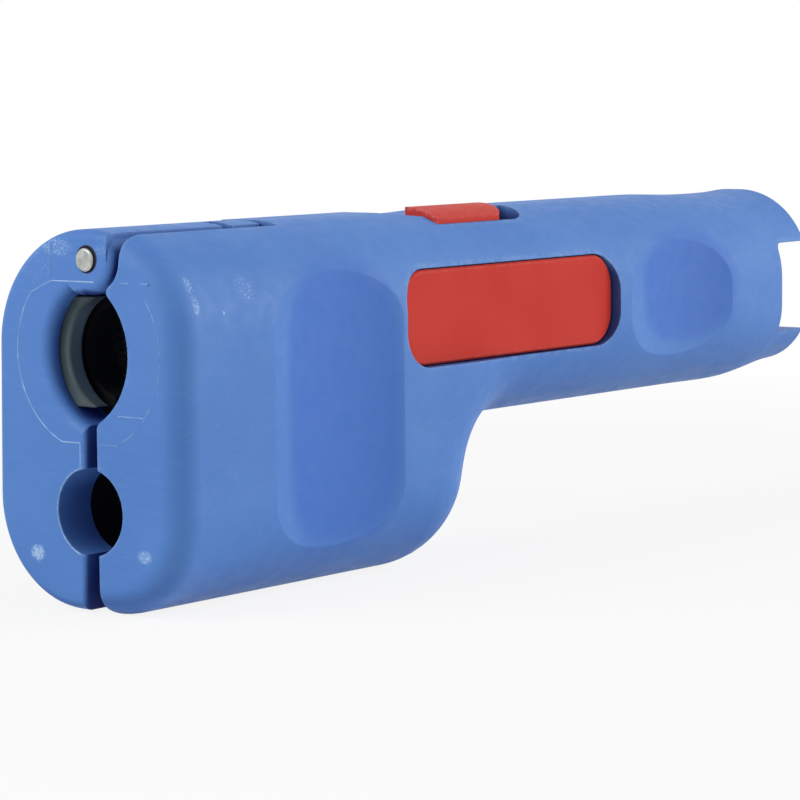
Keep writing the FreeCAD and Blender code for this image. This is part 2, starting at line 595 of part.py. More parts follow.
def screw_places():
    z = (LOWER_PORT_Z + LOWER_CHANNEL_RADIUS + UPPER_PORT_Z - CARRIER_CHANNEL) / 2
    return [(CARRIER_FRONT + SCREW_INSET, z), (CARRIER_REAR - SCREW_INSET, z)]


def blade_places():
    """Name, x of the plate, height of its port and distance of its edge from the port's axis."""
    jacket_x = CARRIER_FRONT + BLADE_INSET
    core_x = jacket_x + BLADE_SPACING
    return [
        ("upper_jacket_blade", jacket_x, UPPER_PORT_Z, JACKET_EDGE),
        ("upper_core_blade", core_x, UPPER_PORT_Z, CORE_EDGE),
        ("lower_jacket_blade", jacket_x, LOWER_PORT_Z, JACKET_EDGE),
        ("lower_core_blade", core_x, LOWER_PORT_Z, CORE_EDGE),
    ]


def make_carrier():
    """Moulded block that guides the cable past the blades and holds them in slots."""
    carrier = box(CARRIER_FRONT, CARRIER_REAR, CARRIER_FACE, CARRIER_BACK, CARRIER_BOTTOM, CARRIER_TOP)
    carrier = carrier.cut(rod_x(CARRIER_CHANNEL, 0, FAR, 0, UPPER_PORT_Z))
    carrier = carrier.cut(rod_x(LOWER_CHANNEL_RADIUS, 0, FAR, 0, LOWER_PORT_Z))
    half_thick = BLADE_THICKNESS / 2 + RUNNING_GAP
    half_high = BLADE_HEIGHT / 2 + RUNNING_GAP
    for _, x, z, _ in blade_places():
        carrier = carrier.cut(box(x - half_thick, x + half_thick, 0, FAR, z - half_high, z + half_high))
    hole_end = COVER_BACK - SCREW_LENGTH
    for x, z in screw_places():
        carrier = carrier.cut(rod_y(SCREW_RADIUS + SEAT_GAP, hole_end, FAR, x, z))
    return carrier


def screw_body(x, z, grow):
    """Countersunk screw, head flush with the back of the cover."""
    head_front = COVER_BACK - SCREW_HEAD_HEIGHT
    narrow = SCREW_RADIUS + grow
    wide = SCREW_HEAD_RADIUS + grow
    shank = rod_y(narrow, COVER_BACK - SCREW_LENGTH, head_front, x, z)
    head = Part.makeCone(narrow, wide, SCREW_HEAD_HEIGHT, V(x, head_front, z), V(0, 1, 0))
    return shank.fuse(head)


def make_cover():
    """Plate screwed behind the carrier that backs the blades."""
    cover = box(CARRIER_FRONT, CARRIER_REAR, CARRIER_BACK, COVER_BACK, CARRIER_BOTTOM, CARRIER_TOP)
    for x, z in screw_places():
        cover = cover.cut(screw_body(x, z, SEAT_GAP))
    return cover


def make_screws():
    screws = []
    half = SCREW_SLOT / 2
    reach = SCREW_HEAD_RADIUS
    for x, z in screw_places():
        slot = box(x - half, x + half, COVER_BACK - SCREW_SLOT, FAR, z - reach, z + reach)
        screws.append(screw_body(x, z, 0).cut(slot))
    return Part.makeCompound(screws)


def make_blade(x, z, edge):
    """Flat plate ground on one side to a straight cutting edge."""
    half = BLADE_THICKNESS / 2
    low = z - BLADE_HEIGHT / 2
    outline = Part.makePolygon([
        V(x - half, edge, low),
        V(x + half, edge + BLADE_BEVEL, low),
        V(x + half, CARRIER_BACK, low),
        V(x - half, CARRIER_BACK, low),
        V(x - half, edge, low),
    ])
    return Part.Face(outline).extrude(V(0, 0, BLADE_HEIGHT))


def make_label():
    plate = label_outline(0, LABEL_FACE, LABEL_BACK)
    return plate.makeChamfer(LABEL_EDGE, edges_where(plate, lambda e: lies_on(e, "Y", LABEL_FACE)))


def make_slide(grip):
    """Thumb slide whose top follows the handle's crown, with a stem down to the stop."""
    raised = grip.copy()
    raised.translate(V(0, 0, SLIDE_PROUD))
    cap = slide_outline(0, 0, SLIDE_BOTTOM, FAR)
    stem = box(STEM_X, STEM_END, STEM_Y0, STEM_Y1, STOP_TOP - STOP_RIM, SLIDE_BOTTOM)
    return cap.common(raised).fuse(stem).removeSplitter()


def make_stop():
    """Block in the cable bore that the end of the cable runs up against."""
    half = STOP_WIDTH / 2
    stop = box(STEM_X - STOP_RIM, STEM_END + STOP_RIM, -half, half, STOP_BOTTOM, STOP_TOP)
    return stop.cut(box(STEM_X, STEM_END, STEM_Y0, STEM_Y1, STOP_TOP - STOP_RIM, STOP_TOP))


def main():
    grip = make_grip()
    pieces = {
        "main_body": make_main_body(grip),
        "hinged_jaw": make_jaw(),
        "hinge_pin": make_pin(),
        "jaw_spring": make_spring(),
        "cable_pad": make_pad(),
        "blade_carrier": make_carrier(),
        "carrier_cover": make_cover(),
        "carrier_screws": make_screws(),
        "label_plate": make_label(),
        "stop_slide": make_slide(grip),
        "cable_stop": make_stop(),
    }
    for name, x, z, edge in blade_places():
        pieces[name] = make_blade(x, z, edge)

    os.makedirs("parts", exist_ok=True)
    for name, shape in pieces.items():
        shape.translate(PLACE)
        shape.exportStep(os.path.join("parts", name + ".step"))
        print(name, len(shape.Solids), shape.isValid(), round(shape.Volume, 2))


main()
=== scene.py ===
"""Looks of a coaxial cable stripper: finishes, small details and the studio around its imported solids."""

import json
import math

import bmesh
import bpy
from bpy.props import FloatProperty, FloatVectorProperty, IntProperty, PointerProperty
from bpy.types import Operator, Panel, PropertyGroup
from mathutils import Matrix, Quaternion, Vector


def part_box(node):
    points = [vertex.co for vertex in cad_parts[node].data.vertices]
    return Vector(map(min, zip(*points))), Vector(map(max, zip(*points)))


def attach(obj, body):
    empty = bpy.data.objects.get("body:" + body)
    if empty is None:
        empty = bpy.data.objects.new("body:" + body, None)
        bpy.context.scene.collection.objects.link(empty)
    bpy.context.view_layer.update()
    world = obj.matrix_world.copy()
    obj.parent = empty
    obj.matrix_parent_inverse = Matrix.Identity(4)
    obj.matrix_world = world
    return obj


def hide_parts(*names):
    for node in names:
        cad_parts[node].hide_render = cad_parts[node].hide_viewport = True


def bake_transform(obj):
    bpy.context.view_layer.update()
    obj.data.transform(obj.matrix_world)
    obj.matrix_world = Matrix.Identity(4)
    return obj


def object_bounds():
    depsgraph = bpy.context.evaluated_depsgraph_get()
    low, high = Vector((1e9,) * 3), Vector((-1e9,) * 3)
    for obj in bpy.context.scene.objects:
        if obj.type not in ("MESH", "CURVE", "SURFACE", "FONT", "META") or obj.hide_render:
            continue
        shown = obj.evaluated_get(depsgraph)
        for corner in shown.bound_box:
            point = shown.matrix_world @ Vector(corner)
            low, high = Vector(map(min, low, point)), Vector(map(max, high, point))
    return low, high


bl_info = {
    "name": "Coaxial cable stripper",
    "version": (1, 0, 0),
    "blender": (4, 5, 0),
    "location": "3D View > Sidebar > Stripper",
    "description": "Finishes, details and studio for a cable stripper with a sprung hinged jaw",
    "category": "Object",
}

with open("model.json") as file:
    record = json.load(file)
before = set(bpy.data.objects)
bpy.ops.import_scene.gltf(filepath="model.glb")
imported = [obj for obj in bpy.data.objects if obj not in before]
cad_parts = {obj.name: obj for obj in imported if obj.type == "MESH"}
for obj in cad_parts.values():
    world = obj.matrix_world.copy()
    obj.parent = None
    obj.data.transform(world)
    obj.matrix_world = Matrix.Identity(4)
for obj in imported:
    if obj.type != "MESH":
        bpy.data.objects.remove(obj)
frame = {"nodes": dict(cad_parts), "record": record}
CAD_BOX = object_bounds()

MM = 0.001
WHITE = (1.0, 1.0, 1.0, 1.0)
UP = (0.0, 0.0, 1.0)

# Noise scales of the specks in a scuff
COARSE_SPECKS = 4000.0
FINE_SPECKS = 8000.0

# Segments in one turn of the spring, and how finely its wire is rounded
TURN_STEPS = 24
WIRE_RESOLUTION = 3

# Degrees from point to point of a round witness line
ARC_STEP = 4.0

# Name, place and side in metres, and power in watts of each lamp
SOFTBOXES = (
    ("front_softbox", (-0.45, 0.2, 0.3), 0.35, 2.0),
    ("side_softbox", (0.55, -0.7, 0.35), 0.7, 6.9),
    ("top_softbox", (0.1, -0.1, 0.9), 0.7, 0.5),
)


def mount_place(name):
    """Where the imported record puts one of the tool's mounts."""
    for mount in frame["record"]["mounts"]:
        if mount["name"] == name:
            return Vector(mount["pos_m"])
    raise RuntimeError("the record has no mount named " + name)


def middle(node):
    low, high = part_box(node)
    return (low + high) / 2


FRONT_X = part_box("main_body")[0].x
NEAR_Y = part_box("main_body")[0].y
UPPER_PORT = mount_place("upper_cable_port")
LOWER_PORT = mount_place("lower_cable_port")
PIN = middle("hinge_pin")


class MouldingSettings(PropertyGroup):
    blue: FloatVectorProperty(
        name="Blue", description="Colour of the moulded body and jaw",
        subtype="COLOR", size=3, min=0.0, max=1.0, default=(0.080, 0.207, 0.556))
    blue_mottle: FloatVectorProperty(
        name="Blue mottle", description="Slightly lighter blue that clouds the moulding",
        subtype="COLOR", size=3, min=0.0, max=1.0, default=(0.092, 0.231, 0.584))
    # Pale blue of wear, scuffs and flash, also used for the painted highlight on rounded edges and round
    # the lower port
    worn_and_highlight_blue: FloatVectorProperty(
        name="Worn blue", description="Pale blue where edges and scuffs are rubbed white",
        subtype="COLOR", size=3, min=0.0, max=1.0, default=(0.40, 0.58, 0.84))
    # Painted shade: deeper blue laid over the finger hollows
    hollow_shade_blue: FloatVectorProperty(
        name="Handled blue", description="Deeper blue where fingers have polished the hollows",
        subtype="COLOR", size=3, min=0.0, max=1.0, default=(0.058, 0.168, 0.550))
    # Painted shade: dark blue laid in slits, ports and other hemmed-in places
    painted_shade_blue: FloatVectorProperty(
        name="Grimy blue", description="Dark blue of the grime in slits and ports",
        subtype="COLOR", size=3, min=0.0, max=1.0, default=(0.016, 0.036, 0.205))
    # Painted shade: near black laid in a ring in the gap round the pin
    gap: FloatVectorProperty(
        name="Gap", description="Near black of the gap between the pin and its hole",
        subtype="COLOR", size=3, min=0.0, max=1.0, default=(0.006, 0.008, 0.018))
    mottle: FloatProperty(
        name="Mottle", description="How strongly clouds and drawn marks lighten the blue",
        subtype="FACTOR", min=0.0, max=1.0, default=0.8)
    # Paleness of the edges: partly wear, partly a painted highlight along rounded edges such as the slit's
    edge_wear_and_highlight: FloatProperty(
        name="Edge wear", description="How pale the rubbed edges turn",
        subtype="FACTOR", min=0.0, max=1.0, default=0.2)
    scuffing: FloatProperty(
        name="Scuffing", description="How pale the scratches in a scuff turn",
        subtype="FACTOR", min=0.0, max=1.0, default=0.8)
    bruising: FloatProperty(
        name="Bruising", description="How pale the bruised spots turn",
        subtype="FACTOR", min=0.0, max=1.0, default=0.32)
    roughness: FloatProperty(
        name="Roughness", description="Roughness of the matt moulding where it is smoothest",
        subtype="FACTOR", min=0.0, max=1.0, default=0.49)
    specular: FloatProperty(
        name="Specular", description="Strength of the moulding's sheen",
        subtype="FACTOR", min=0.0, max=1.0, default=0.25)
    grain: FloatProperty(
        name="Grain depth", description="Depth of the moulding's fine grain",
        unit="LENGTH", default=0.012 * MM)
    edge: FloatProperty(
        name="Edge radius", description="Small round on the moulding's cut edges",
        unit="LENGTH", default=0.22 * MM)
    # Reach of the painted shade: how near a wall must be for a surface to be darkened
    shade_reach: FloatProperty(
        name="Grime reach", description="How near a wall has to be to hold grime",
        unit="LENGTH", default=7.0 * MM)


class RedSettings(PropertyGroup):
    red: FloatVectorProperty(
        name="Red", description="Colour of the label plate and the thumb slide",
        subtype="COLOR", size=3, min=0.0, max=1.0, default=(0.565, 0.043, 0.032))
    red_mottle: FloatVectorProperty(
        name="Red mottle", description="Slightly lighter red that clouds the plate",
        subtype="COLOR", size=3, min=0.0, max=1.0, default=(0.595, 0.053, 0.040))
    worn_red: FloatVectorProperty(
        name="Worn red", description="Pale red on rubbed edges",
        subtype="COLOR", size=3, min=0.0, max=1.0, default=(0.80, 0.30, 0.26))
    roughness: FloatProperty(
        name="Roughness", description="Roughness of the satin red mouldings where they are smoothest",
        subtype="FACTOR", min=0.0, max=1.0, default=0.37)
    specular: FloatProperty(
        name="Specular", description="Strength of the red mouldings' sheen",
        subtype="FACTOR", min=0.0, max=1.0, default=0.04)


class CarrierSettings(PropertyGroup):
    # Painted shade: near black that makes the parts deep inside the ports read as shade
    shaded_black: FloatVectorProperty(
        name="Black", description="Colour of the blade carrier and the stop inside the head",
        subtype="COLOR", size=3, min=0.0, max=1.0, default=(0.012, 0.012, 0.014))
    dust: FloatVectorProperty(
        name="Dust", description="Grey that lies on the carrier's edges",
        subtype="COLOR", size=3, min=0.0, max=1.0, default=(0.022, 0.022, 0.025))
    roughness: FloatProperty(
        name="Roughness", description="Roughness of the dull black where it is smoothest",
        subtype="FACTOR", min=0.0, max=1.0, default=0.8)


class PadSettings(PropertyGroup):
    slate: FloatVectorProperty(
        name="Slate", description="Colour of the cable pad",
        subtype="COLOR", size=3, min=0.0, max=1.0, default=(0.034, 0.058, 0.069))
    slate_dust: FloatVectorProperty(
        name="Slate dust", description="Paler grey that lies on the pad's edges",
        subtype="COLOR", size=3, min=0.0, max=1.0, default=(0.095, 0.122, 0.125))
    # Painted light: paler grey on the pad's faces that turn towards -y
    painted_light_slate: FloatVectorProperty(
        name="Rubbed slate", description="Grey of the face that the cable rubs",
        subtype="COLOR", size=3, min=0.0, max=1.0, default=(0.108, 0.152, 0.172))
    roughness: FloatProperty(
        name="Roughness", description="Roughness of the pad where it is smoothest",
        subtype="FACTOR", min=0.0, max=1.0, default=0.6)
    specular: FloatProperty(
        name="Specular", description="Strength of the pad's sheen",
        subtype="FACTOR", min=0.0, max=1.0, default=0.3)


class SteelSettings(PropertyGroup):
    pin: FloatVectorProperty(
        name="Pin steel", description="Colour of the hinge pin and the screws",
        subtype="COLOR", size=3, min=0.0, max=1.0, default=(0.50, 0.52, 0.49))
    wire: FloatVectorProperty(
        name="Spring steel", description="Colour of the spring's drawn wire",
        subtype="COLOR", size=3, min=0.0, max=1.0, default=(0.42, 0.43, 0.44))
    blade: FloatVectorProperty(
        name="Blade steel", description="Colour of the ground blades",
        subtype="COLOR", size=3, min=0.0, max=1.0, default=(0.55, 0.56, 0.58))
    tarnish: FloatProperty(
        name="Tarnish", description="Brightness of the tarnish on the pin and the blades",
        subtype="FACTOR", min=0.0, max=1.0, default=0.4)
    wire_tarnish: FloatProperty(
        name="Wire tarnish", description="Brightness of the tarnish on the spring",
        subtype="FACTOR", min=0.0, max=1.0, default=0.6)


class SpringSettings(PropertyGroup):
    wire: FloatProperty(
        name="Wire", description="Diameter of the spring's wire", unit="LENGTH", default=0.5 * MM)
    coil: FloatProperty(
        name="Coil radius", description="Radius of the coil at the middle of the wire",
        unit="LENGTH", default=1.35 * MM)
    turns: IntProperty(name="Turns", description="Turns of the coil", min=1, default=5)
    pitch: FloatProperty(
        name="Pitch", description="Distance from one turn to the next", unit="LENGTH", default=0.9 * MM)
    body_leg: FloatProperty(
        name="Body leg", description="Length of the leg in the body", unit="LENGTH", default=4.6 * MM)
    jaw_leg: FloatProperty(
        name="Jaw leg", description="Length of the leg in the jaw", unit="LENGTH", default=3.0 * MM)


class MarkSettings(PropertyGroup):
    ring: FloatProperty(
        name="Ring radius", description="Radius of the insert's witness ring about the upper port",
        unit="LENGTH", default=8.23 * MM)
    top: FloatProperty(
        name="Top line", description="Height of the ring's upper end above the port's axis",
        unit="LENGTH", default=6.1 * MM)
    foot: FloatProperty(
        name="Foot line", description="Depth of the ring's flat foot below the port's axis",
        unit="LENGTH", default=7.62 * MM)
    cross: FloatProperty(
        name="Cross line", description="Depth of the short line on the body's side below the port's axis",
        unit="LENGTH", default=5.1 * MM)
    side: FloatProperty(
        name="Side line", description="Distance of the upright line from the pin's axis",
        unit="LENGTH", default=4.05 * MM)
    # A painted highlight: a ragged pale line along the rim on the jaw's side of the lower port
    rim_highlight: FloatProperty(
        name="Rim radius", description="Radius of the ragged rim on the jaw's side of the lower port",
        unit="LENGTH", default=3.86 * MM)
    width: FloatProperty(
        name="Line width", description="Width of a witness line at its base",
        unit="LENGTH", default=0.135 * MM)
    height: FloatProperty(
        name="Line height", description="How far a witness line stands out",
        unit="LENGTH", default=0.04 * MM)


class StageSettings(PropertyGroup):
    eye: FloatVectorProperty(
        name="Eye", description="Place of the camera, measured from the middle of the front face's foot",
        subtype="TRANSLATION", unit="LENGTH", size=3, default=(-0.19477, -0.18720, 0.04548))
    aim: FloatVectorProperty(
        name="Aim", description="Direction in which the camera looks",
        subtype="DIRECTION", size=3, default=(0.78108, 0.61618, -0.10112))
    roll: FloatProperty(
        name="Roll", description="Turn of the camera about its own axis",
        subtype="ANGLE", default=math.radians(-0.58))
    lens: FloatProperty(
        name="Lens", description="Focal length", subtype="DISTANCE_CAMERA", default=144.0)
    sensor: FloatProperty(
        name="Sensor", description="Width of the camera's sensor", subtype="DISTANCE_CAMERA", default=36.0)
    nearest: FloatProperty(
        name="Nearest", description="Distance from which the camera sees", unit="LENGTH", default=10.0 * MM)
    ambient: FloatProperty(
        name="Ambient", description="Strength of the even light from all round", min=0.0, default=0.27)
    floor: FloatVectorProperty(
        name="Floor", description="Colour of the floor",
        subtype="COLOR", size=3, min=0.0, max=1.0, default=(0.78, 0.78, 0.78))
    floor_side: FloatProperty(
        name="Floor side", description="Length of the floor's sides", unit="LENGTH", default=6.0)
    floor_white: FloatProperty(
        name="Floor white", description="Share of plain white in the floor round the tool",
        subtype="FACTOR", min=0.0, max=1.0, default=0.87)
    fade_start: FloatProperty(
        name="Fade start", description="Distance from which the floor fades to plain white",
        unit="LENGTH", default=80.0 * MM)
    fade_end: FloatProperty(
        name="Fade end", description="Distance at which the floor is plain white",
        unit="LENGTH", default=220.0 * MM)


class StripperSettings(PropertyGroup):
    moulding: PointerProperty(type=MouldingSettings)
    red: PointerProperty(type=RedSettings)
    carrier: PointerProperty(type=CarrierSettings)
    pad: PointerProperty(type=PadSettings)
    steel: PointerProperty(type=SteelSettings)
    spring: PointerProperty(type=SpringSettings)
    marks: PointerProperty(type=MarkSettings)
    stage: PointerProperty(type=StageSettings)


def colour(values):
    return (*values, 1.0)


def add_node(tree, kind, inputs=None, **options):
    """A new node; an input is given a value, or a socket to be linked to."""
    node = tree.nodes.new(kind)
    for name, value in options.items():
        setattr(node, name, value)
    for name, value in (inputs or {}).items():
        if isinstance(value, bpy.types.NodeSocket):
            tree.links.new(value, node.inputs[name])
        else:
            node.inputs[name].default_value = value
    return node


def maths(tree, operation, *values, clamp=False):
    inputs = dict(enumerate(values))
    return add_node(tree, "ShaderNodeMath", inputs, operation=operation, use_clamp=clamp).outputs[0]


def inverted(tree, value):
    return maths(tree, "SUBTRACT", 1.0, value)


def vector_maths(tree, operation, *values, output="Vector"):
    inputs = dict(enumerate(values))
    return add_node(tree, "ShaderNodeVectorMath", inputs, operation=operation).outputs[output]


def step_up(tree, value, low, high):
    """Smooth rise from 0 to 1 as value goes from low to high."""
    node = add_node(
        tree, "ShaderNodeMapRange", {"Value": value, "From Min": low, "From Max": high},
        interpolation_type="SMOOTHSTEP")
    return node.outputs["Result"]


def mix_colour(tree, share, first, second):
    node = add_node(tree, "ShaderNodeMix", data_type="RGBA")
    for name, value in (("Factor_Float", share), ("A_Color", first), ("B_Color", second)):
        socket = next(s for s in node.inputs if s.identifier == name)
        if isinstance(value, bpy.types.NodeSocket):
            tree.links.new(value, socket)
        else:
            socket.default_value = value
    return next(s for s in node.outputs if s.identifier == "Result_Color")


def tinted(tree, base, tint, mask, strength=1.0):
    """The base colour with a tint laid over it where the mask is."""
    return mix_colour(tree, maths(tree, "MULTIPLY", mask, strength), base, colour(tint))


def noise(tree, place, scale, detail=2.0, rough=0.5):
    node = add_node(
        tree, "ShaderNodeTexNoise",
        {"Vector": place, "Scale": scale, "Detail": detail, "Roughness": rough})
    return node.outputs["Fac"]


def object_place(tree):
    return add_node(tree, "ShaderNodeTexCoord").outputs["Object"]


def new_group(name, inputs, outputs):
    """Empty shader group with named sockets; returns the tree, its inputs and its output node."""
    tree = bpy.data.node_groups.new(name, "ShaderNodeTree")
    for label, kind, value in inputs:
        socket = tree.interface.new_socket(label, in_out="INPUT", socket_type=kind)
        socket.default_value = value
    for label, kind in outputs:
        tree.interface.new_socket(label, in_out="OUTPUT", socket_type=kind)
    return tree, tree.nodes.new("NodeGroupInput").outputs, tree.nodes.new("NodeGroupOutput")


def put_out(tree, result, **values):
    """Links what a group has worked out to its named outputs."""
    for label, value in values.items():
        tree.links.new(value, result.inputs[label])


def use_group(tree, name, **inputs):
    """Places a finished group in a material and returns its outputs."""
    node = tree.nodes.new("ShaderNodeGroup")
    node.node_tree = bpy.data.node_groups[name]
    for label, value in inputs.items():
        node.inputs[label.replace("_", " ")].default_value = value
    return node.outputs


def build_moulded_grain():
    """Fine grain of a matt mould, the slow clouding of its colour and faint marks drawn across it."""
    tree, given, result = new_group(
        "moulded_grain",
        [("Grain Scale", "NodeSocketFloat", 3000.0), ("Cloud Scale", "NodeSocketFloat", 120.0)],
        [("Height", "NodeSocketFloat"), ("Cloud", "NodeSocketFloat"), ("Gloss", "NodeSocketFloat"),
         ("Drag", "NodeSocketFloat")])
    fleck_scale = 0.3
    fleck_height = 0.5
    drag_stretch = (0.5, 0.12, 1.0)
    place = object_place(tree)
    fine = noise(tree, place, given["Grain Scale"], detail=3.0, rough=0.6)
    cloud = noise(tree, place, given["Cloud Scale"])
    flecks = noise(tree, place, maths(tree, "MULTIPLY", given["Grain Scale"], fleck_scale), detail=1.0)
    drag = noise(tree, vector_maths(tree, "MULTIPLY", place, drag_stretch), given["Grain Scale"])
    put_out(
        tree, result,
        Height=maths(tree, "MULTIPLY_ADD", flecks, fleck_height, fine),
        Cloud=step_up(tree, cloud, low=0.3, high=0.7),
        Gloss=step_up(tree, flecks, low=0.25, high=0.75),
        Drag=step_up(tree, drag, low=0.5, high=0.75))


def build_edge_wear():
    """Rubbed outer edges, broken up by noise, and the normal that rounds them; the pale edges are partly
    wear and partly a painted highlight along rounded edges.

    A sharp edge is where the rounded normal leaves the flat one, and a small round is where the
    solid behind the surface is thin.
    """
    tree, given, result = new_group(
        "edge_wear_and_highlight",
        [("Radius", "NodeSocketFloat", 0.2 * MM), ("Breaks", "NodeSocketFloat", 1500.0)],
        [("Wear", "NodeSocketFloat"), ("Normal", "NodeSocketVector")])
    samples = 6
    reach_per_radius = 4.0
    soft = add_node(tree, "ShaderNodeBevel", {"Radius": given["Radius"]}, samples=samples).outputs[0]
    flat = add_node(tree, "ShaderNodeNewGeometry").outputs["Normal"]
    leaning = inverted(tree, vector_maths(tree, "DOT_PRODUCT", soft, flat, output="Value"))
    reach = {"Distance": maths(tree, "MULTIPLY", given["Radius"], reach_per_radius)}
    air = add_node(tree, "ShaderNodeAmbientOcclusion", reach, samples=samples)
    solid = add_node(
        tree, "ShaderNodeAmbientOcclusion", reach, samples=samples, inside=True, only_local=True)
    bent = step_up(tree, leaning, low=0.02, high=0.2)
    open_air = step_up(tree, air.outputs["AO"], low=0.45, high=0.75)
    thin = step_up(tree, inverted(tree, solid.outputs["AO"]), low=0.3, high=0.5)
    edge = maths(tree, "MAXIMUM", maths(tree, "MULTIPLY", bent, open_air), thin)
    breaks = noise(tree, object_place(tree), given["Breaks"], detail=3.0, rough=0.6)
    wear_and_highlight = maths(tree, "MULTIPLY", edge, step_up(tree, breaks, low=0.35, high=0.65))
    put_out(tree, result, Wear=wear_and_highlight, Normal=soft)


def build_scuff():
    """A patch of fine pale scratches about one place on a piece."""
    tree, given, result = new_group(
        "scuff",
        [("Place", "NodeSocketVector", (0.0, 0.0, 0.0)), ("Stretch", "NodeSocketVector", (1.0, 1.0, 1.0)),
         ("Size", "NodeSocketFloat", 1.0 * MM), ("Cover", "NodeSocketFloat", 0.5),
         ("Speck Scale", "NodeSocketFloat", COARSE_SPECKS)],
        [("Mask", "NodeSocketFloat")])
    bare_level = 0.75
    cover_gain = 0.4
    rim_rise = 0.3
    contrast = 14.0
    place = object_place(tree)
    away = vector_maths(tree, "SUBTRACT", place, given["Place"])
    away = vector_maths(tree, "DIVIDE", away, given["Stretch"])
    distance = vector_maths(tree, "LENGTH", away, output="Value")
    share = maths(tree, "DIVIDE", distance, given["Size"])
    inside = inverted(tree, step_up(tree, share, low=0.35, high=1.0))
    specks = noise(tree, place, given["Speck Scale"], detail=4.0, rough=0.65)
    level = maths(tree, "SUBTRACT", bare_level, maths(tree, "MULTIPLY", given["Cover"], cover_gain))
    level = maths(tree, "ADD", level, maths(tree, "MULTIPLY", inverted(tree, inside), rim_rise))
    speckled = maths(tree, "MULTIPLY", maths(tree, "SUBTRACT", specks, level), contrast, clamp=True)
    put_out(tree, result, Mask=maths(tree, "MULTIPLY", speckled, inside))


def build_cavity():
    """Painted shade where other walls hem a surface in; the table below doesn't count as one."""
    tree, given, result = new_group(
        "cavity_shade", [("Reach", "NodeSocketFloat", 7.0 * MM)], [("Mask", "NodeSocketFloat")])
    upward_lean = (0.0, 0.0, 0.6)
    facing = add_node(tree, "ShaderNodeNewGeometry").outputs["Normal"]
    raised = vector_maths(tree, "NORMALIZE", vector_maths(tree, "ADD", facing, upward_lean))
    air = add_node(
        tree, "ShaderNodeAmbientOcclusion", {"Distance": given["Reach"], "Normal": raised}, samples=8)
    hemmed_in = inverted(tree, step_up(tree, air.outputs["AO"], low=0.35, high=0.8))
    height = vector_maths(tree, "DOT_PRODUCT", facing, UP, output="Value")
    above = step_up(tree, height, low=-0.8, high=-0.3)
    put_out(tree, result, Mask=maths(tree, "MULTIPLY", hemmed_in, above))


def build_patch():
    """Soft-edged patch about one place; a power above 2 squares its outline."""
    tree, given, result = new_group(
        "patch",
        [("Place", "NodeSocketVector", (0.0, 0.0, 0.0)), ("Half Size", "NodeSocketVector", (1.0, 1.0, 1.0)),
         ("Power", "NodeSocketFloat", 2.0), ("Fade", "NodeSocketFloat", 0.2)],
        [("Mask", "NodeSocketFloat")])
    away = vector_maths(tree, "SUBTRACT", object_place(tree), given["Place"])
    away = vector_maths(tree, "DIVIDE", away, given["Half Size"])
    away = vector_maths(tree, "ABSOLUTE", away)
    spread = [
        maths(tree, "POWER", part, given["Power"])
        for part in add_node(tree, "ShaderNodeSeparateXYZ", {"Vector": away}).outputs]
    total = maths(tree, "ADD", maths(tree, "ADD", spread[0], spread[1]), spread[2])
    inner = inverted(tree, given["Fade"])
    outer = maths(tree, "ADD", 1.0, given["Fade"])
    put_out(tree, result, Mask=inverted(tree, step_up(tree, total, inner, outer)))


def scuff(place, stretch, size, cover, specks):
    """Inputs of a scuff whose size is given in millimetres."""
    return {"Place": place, "Stretch": stretch, "Size": size * MM, "Cover": cover, "Speck_Scale": specks}


def patch(place, half_size, power=2.0, fade=0.2):
    """Inputs of a patch whose half size along each axis is given in millimetres."""
    return {"Place": place, "Half_Size": [side * MM for side in half_size], "Power": power, "Fade": fade}


def new_material(name):
    """Material with an empty Principled shader; returns it, its tree and the shader."""
    material = bpy.data.materials.new(name)
    material.use_nodes = True
    tree = material.node_tree
    tree.nodes.clear()
    shader = tree.nodes.new("ShaderNodeBsdfPrincipled")
    result = tree.nodes.new("ShaderNodeOutputMaterial")
    tree.links.new(shader.outputs[0], result.inputs["Surface"])
    return material, tree, shader


def feed_shader(tree, shader, base, gloss, low, rise):
    """Gives a shader its colour, and a roughness that rises from low where the gloss mask grows."""
    tree.links.new(base, shader.inputs["Base Color"])
    tree.links.new(maths(tree, "MULTIPLY_ADD", gloss, rise, low), shader.inputs["Roughness"])


def bump(tree, shader, height, depth, normal=None):
    node = add_node(tree, "ShaderNodeBump", {"Strength": 1.0, "Distance": depth, "Height": height})
    if normal is not None:
        tree.links.new(normal, node.inputs["Normal"])
    tree.links.new(node.outputs[0], shader.inputs["Normal"])


def dress(material, *nodes):
    """Gives CAD nodes one material in place of the one that they came with."""
    for name in nodes:
        mesh = frame["nodes"][name].data
        mesh.materials.clear()
        mesh.materials.append(material)


def add_piece(name, mesh, body):
    piece = bpy.data.objects.new(name, mesh)
    bpy.context.scene.collection.objects.link(piece)
    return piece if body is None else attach(piece, body)


class STRIPPER_OT_finishes(Operator):
    """Build the grain, the edge wear with its painted highlight, the scuffs, the painted shade of cavities
    and the patches that the materials share
    """
    bl_idname = "stripper.finishes"
    bl_label = "Shared finishes"

    def execute(self, context):
        build_moulded_grain()
        build_edge_wear()
        build_scuff()
        build_cavity()
        build_patch()
        return {"FINISHED"}


